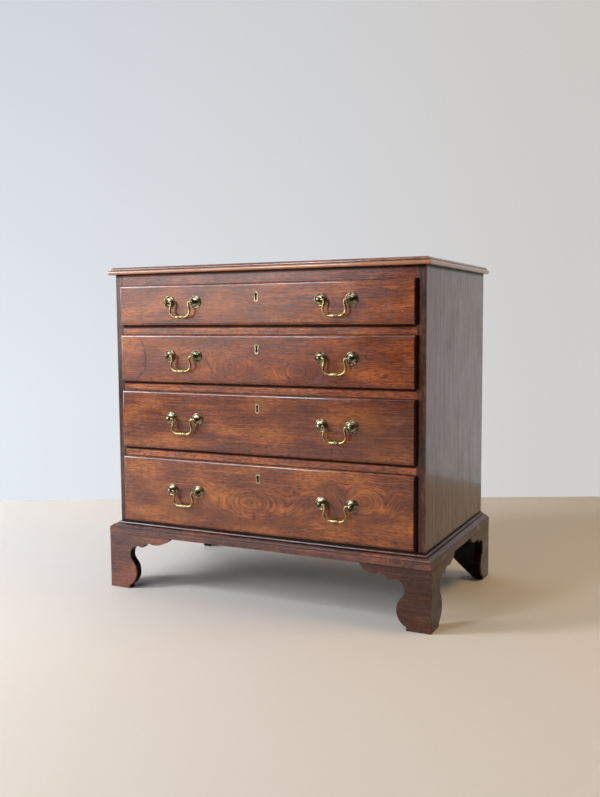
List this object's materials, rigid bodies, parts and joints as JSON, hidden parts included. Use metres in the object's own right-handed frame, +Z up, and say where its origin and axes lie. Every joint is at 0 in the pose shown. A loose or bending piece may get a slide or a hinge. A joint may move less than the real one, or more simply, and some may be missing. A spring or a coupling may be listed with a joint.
{
  "type": "bachelors chest",
  "caption": "Low mahogany chest of graduated long drawers with lipped fronts, brass swan-neck bail handles and keyholes, on scroll-cut bracket feet, for clothes and linen.",
  "frame": {"origin": "on the floor, under the middle of the overall box", "axes": "+X to the right as one faces the drawers, +Y from the drawer fronts to the back, +Z up"},
  "size_m": [0.864, 0.5146, 0.82],
  "materials": {
    "mahogany": "waxed satin polish",
    "oak": "bare, planed and worn",
    "pine": "bare and aged",
    "brass": "aged, worn bright",
    "steel": "dull, aged"
  },
  "bodies": {
    "carcase": {"top_board": "mahogany", "left_side": "mahogany", "right_side": "mahogany", "front_top_rail": "mahogany", "rear_top_rail": "pine", "divider_rail_1": "mahogany", "divider_rail_2": "mahogany", "divider_rail_3": "mahogany", "dust_boards": "pine", "drawer_runners": "pine", "bottom_board": "pine", "back_boards": "pine", "base_moulding_front": "mahogany", "base_moulding_left": "mahogany", "base_moulding_right": "mahogany", "front_left_foot": "mahogany", "front_right_foot": "mahogany", "rear_left_foot": "mahogany", "rear_right_foot": "mahogany", "glue_blocks": "pine"},
    "drawer_1": {"drawer_1_front": "mahogany", "drawer_1_sides": "oak", "drawer_1_back": "oak", "drawer_1_bottom": "oak", "drawer_1_escutcheon": "brass", "drawer_1_lock": "steel", "drawer_1_handle_posts": "brass"},
    "drawer_1_left_bail": {"drawer_1_left_bail": "brass"},
    "drawer_1_right_bail": {"drawer_1_right_bail": "brass"},
    "drawer_1_lock_bolt": {"drawer_1_lock_bolt": "steel"},
    "drawer_2": {"drawer_2_front": "mahogany", "drawer_2_sides": "oak", "drawer_2_back": "oak", "drawer_2_bottom": "oak", "drawer_2_escutcheon": "brass", "drawer_2_lock": "steel", "drawer_2_handle_posts": "brass"},
    "drawer_2_left_bail": {"drawer_2_left_bail": "brass"},
    "drawer_2_right_bail": {"drawer_2_right_bail": "brass"},
    "drawer_2_lock_bolt": {"drawer_2_lock_bolt": "steel"},
    "drawer_3": {"drawer_3_front": "mahogany", "drawer_3_sides": "oak", "drawer_3_back": "oak", "drawer_3_bottom": "oak", "drawer_3_escutcheon": "brass", "drawer_3_lock": "steel", "drawer_3_handle_posts": "brass"},
    "drawer_3_left_bail": {"drawer_3_left_bail": "brass"},
    "drawer_3_right_bail": {"drawer_3_right_bail": "brass"},
    "drawer_3_lock_bolt": {"drawer_3_lock_bolt": "steel"},
    "drawer_4": {"drawer_4_front": "mahogany", "drawer_4_sides": "oak", "drawer_4_back": "oak", "drawer_4_bottom": "oak", "drawer_4_escutcheon": "brass", "drawer_4_lock": "steel", "drawer_4_handle_posts": "brass"},
    "drawer_4_left_bail": {"drawer_4_left_bail": "brass"},
    "drawer_4_right_bail": {"drawer_4_right_bail": "brass"},
    "drawer_4_lock_bolt": {"drawer_4_lock_bolt": "steel"}
  },
  "joints": [
    {"name": "drawer_1_slide", "type": "slide", "parent": "carcase", "child": "drawer_1", "axis": [0, -1, 0], "range_m": [0, 0.36]},
    {"name": "drawer_1_left_bail_swing", "type": "hinge", "parent": "drawer_1", "child": "drawer_1_left_bail", "pos_m": [-0.204, -0.251, 0.7315], "axis": [-1, 0, 0], "range_deg": [-11, 190]},
    {"name": "drawer_1_right_bail_swing", "type": "hinge", "parent": "drawer_1", "child": "drawer_1_right_bail", "pos_m": [0.204, -0.251, 0.7315], "axis": [-1, 0, 0], "range_deg": [-11, 190]},
    {"name": "drawer_1_lock_bolt_throw", "type": "slide", "parent": "drawer_1", "child": "drawer_1_lock_bolt", "axis": [0, 0, 1], "range_m": [0, 0.008]},
    {"name": "drawer_2_slide", "type": "slide", "parent": "carcase", "child": "drawer_2", "axis": [0, -1, 0], "range_m": [0, 0.36]},
    {"name": "drawer_2_left_bail_swing", "type": "hinge", "parent": "drawer_2", "child": "drawer_2_left_bail", "pos_m": [-0.204, -0.251, 0.6], "axis": [-1, 0, 0], "range_deg": [-11, 190]},
    {"name": "drawer_2_right_bail_swing", "type": "hinge", "parent": "drawer_2", "child": "drawer_2_right_bail", "pos_m": [0.204, -0.251, 0.6], "axis": [-1, 0, 0], "range_deg": [-11, 190]},
    {"name": "drawer_2_lock_bolt_throw", "type": "slide", "parent": "drawer_2", "child": "drawer_2_lock_bolt", "axis": [0, 0, 1], "range_m": [0, 0.008]},
    {"name": "drawer_3_slide", "type": "slide", "parent": "carcase", "child": "drawer_3", "axis": [0, -1, 0], "range_m": [0, 0.36]},
    {"name": "drawer_3_left_bail_swing", "type": "hinge", "parent": "drawer_3", "child": "drawer_3_left_bail", "pos_m": [-0.204, -0.251, 0.446], "axis": [-1, 0, 0], "range_deg": [-11, 190]},
    {"name": "drawer_3_right_bail_swing", "type": "hinge", "parent": "drawer_3", "child": "drawer_3_right_bail", "pos_m": [0.204, -0.251, 0.446], "axis": [-1, 0, 0], "range_deg": [-11, 190]},
    {"name": "drawer_3_lock_bolt_throw", "type": "slide", "parent": "drawer_3", "child": "drawer_3_lock_bolt", "axis": [0, 0, 1], "range_m": [0, 0.008]},
    {"name": "drawer_4_slide", "type": "slide", "parent": "carcase", "child": "drawer_4", "axis": [0, -1, 0], "range_m": [0, 0.36]},
    {"name": "drawer_4_left_bail_swing", "type": "hinge", "parent": "drawer_4", "child": "drawer_4_left_bail", "pos_m": [-0.204, -0.251, 0.2665], "axis": [-1, 0, 0], "range_deg": [-11, 190]},
    {"name": "drawer_4_right_bail_swing", "type": "hinge", "parent": "drawer_4", "child": "drawer_4_right_bail", "pos_m": [0.204, -0.251, 0.2665], "axis": [-1, 0, 0], "range_deg": [-11, 190]},
    {"name": "drawer_4_lock_bolt_throw", "type": "slide", "parent": "drawer_4", "child": "drawer_4_lock_bolt", "axis": [0, 0, 1], "range_m": [0, 0.008]}
  ]
}
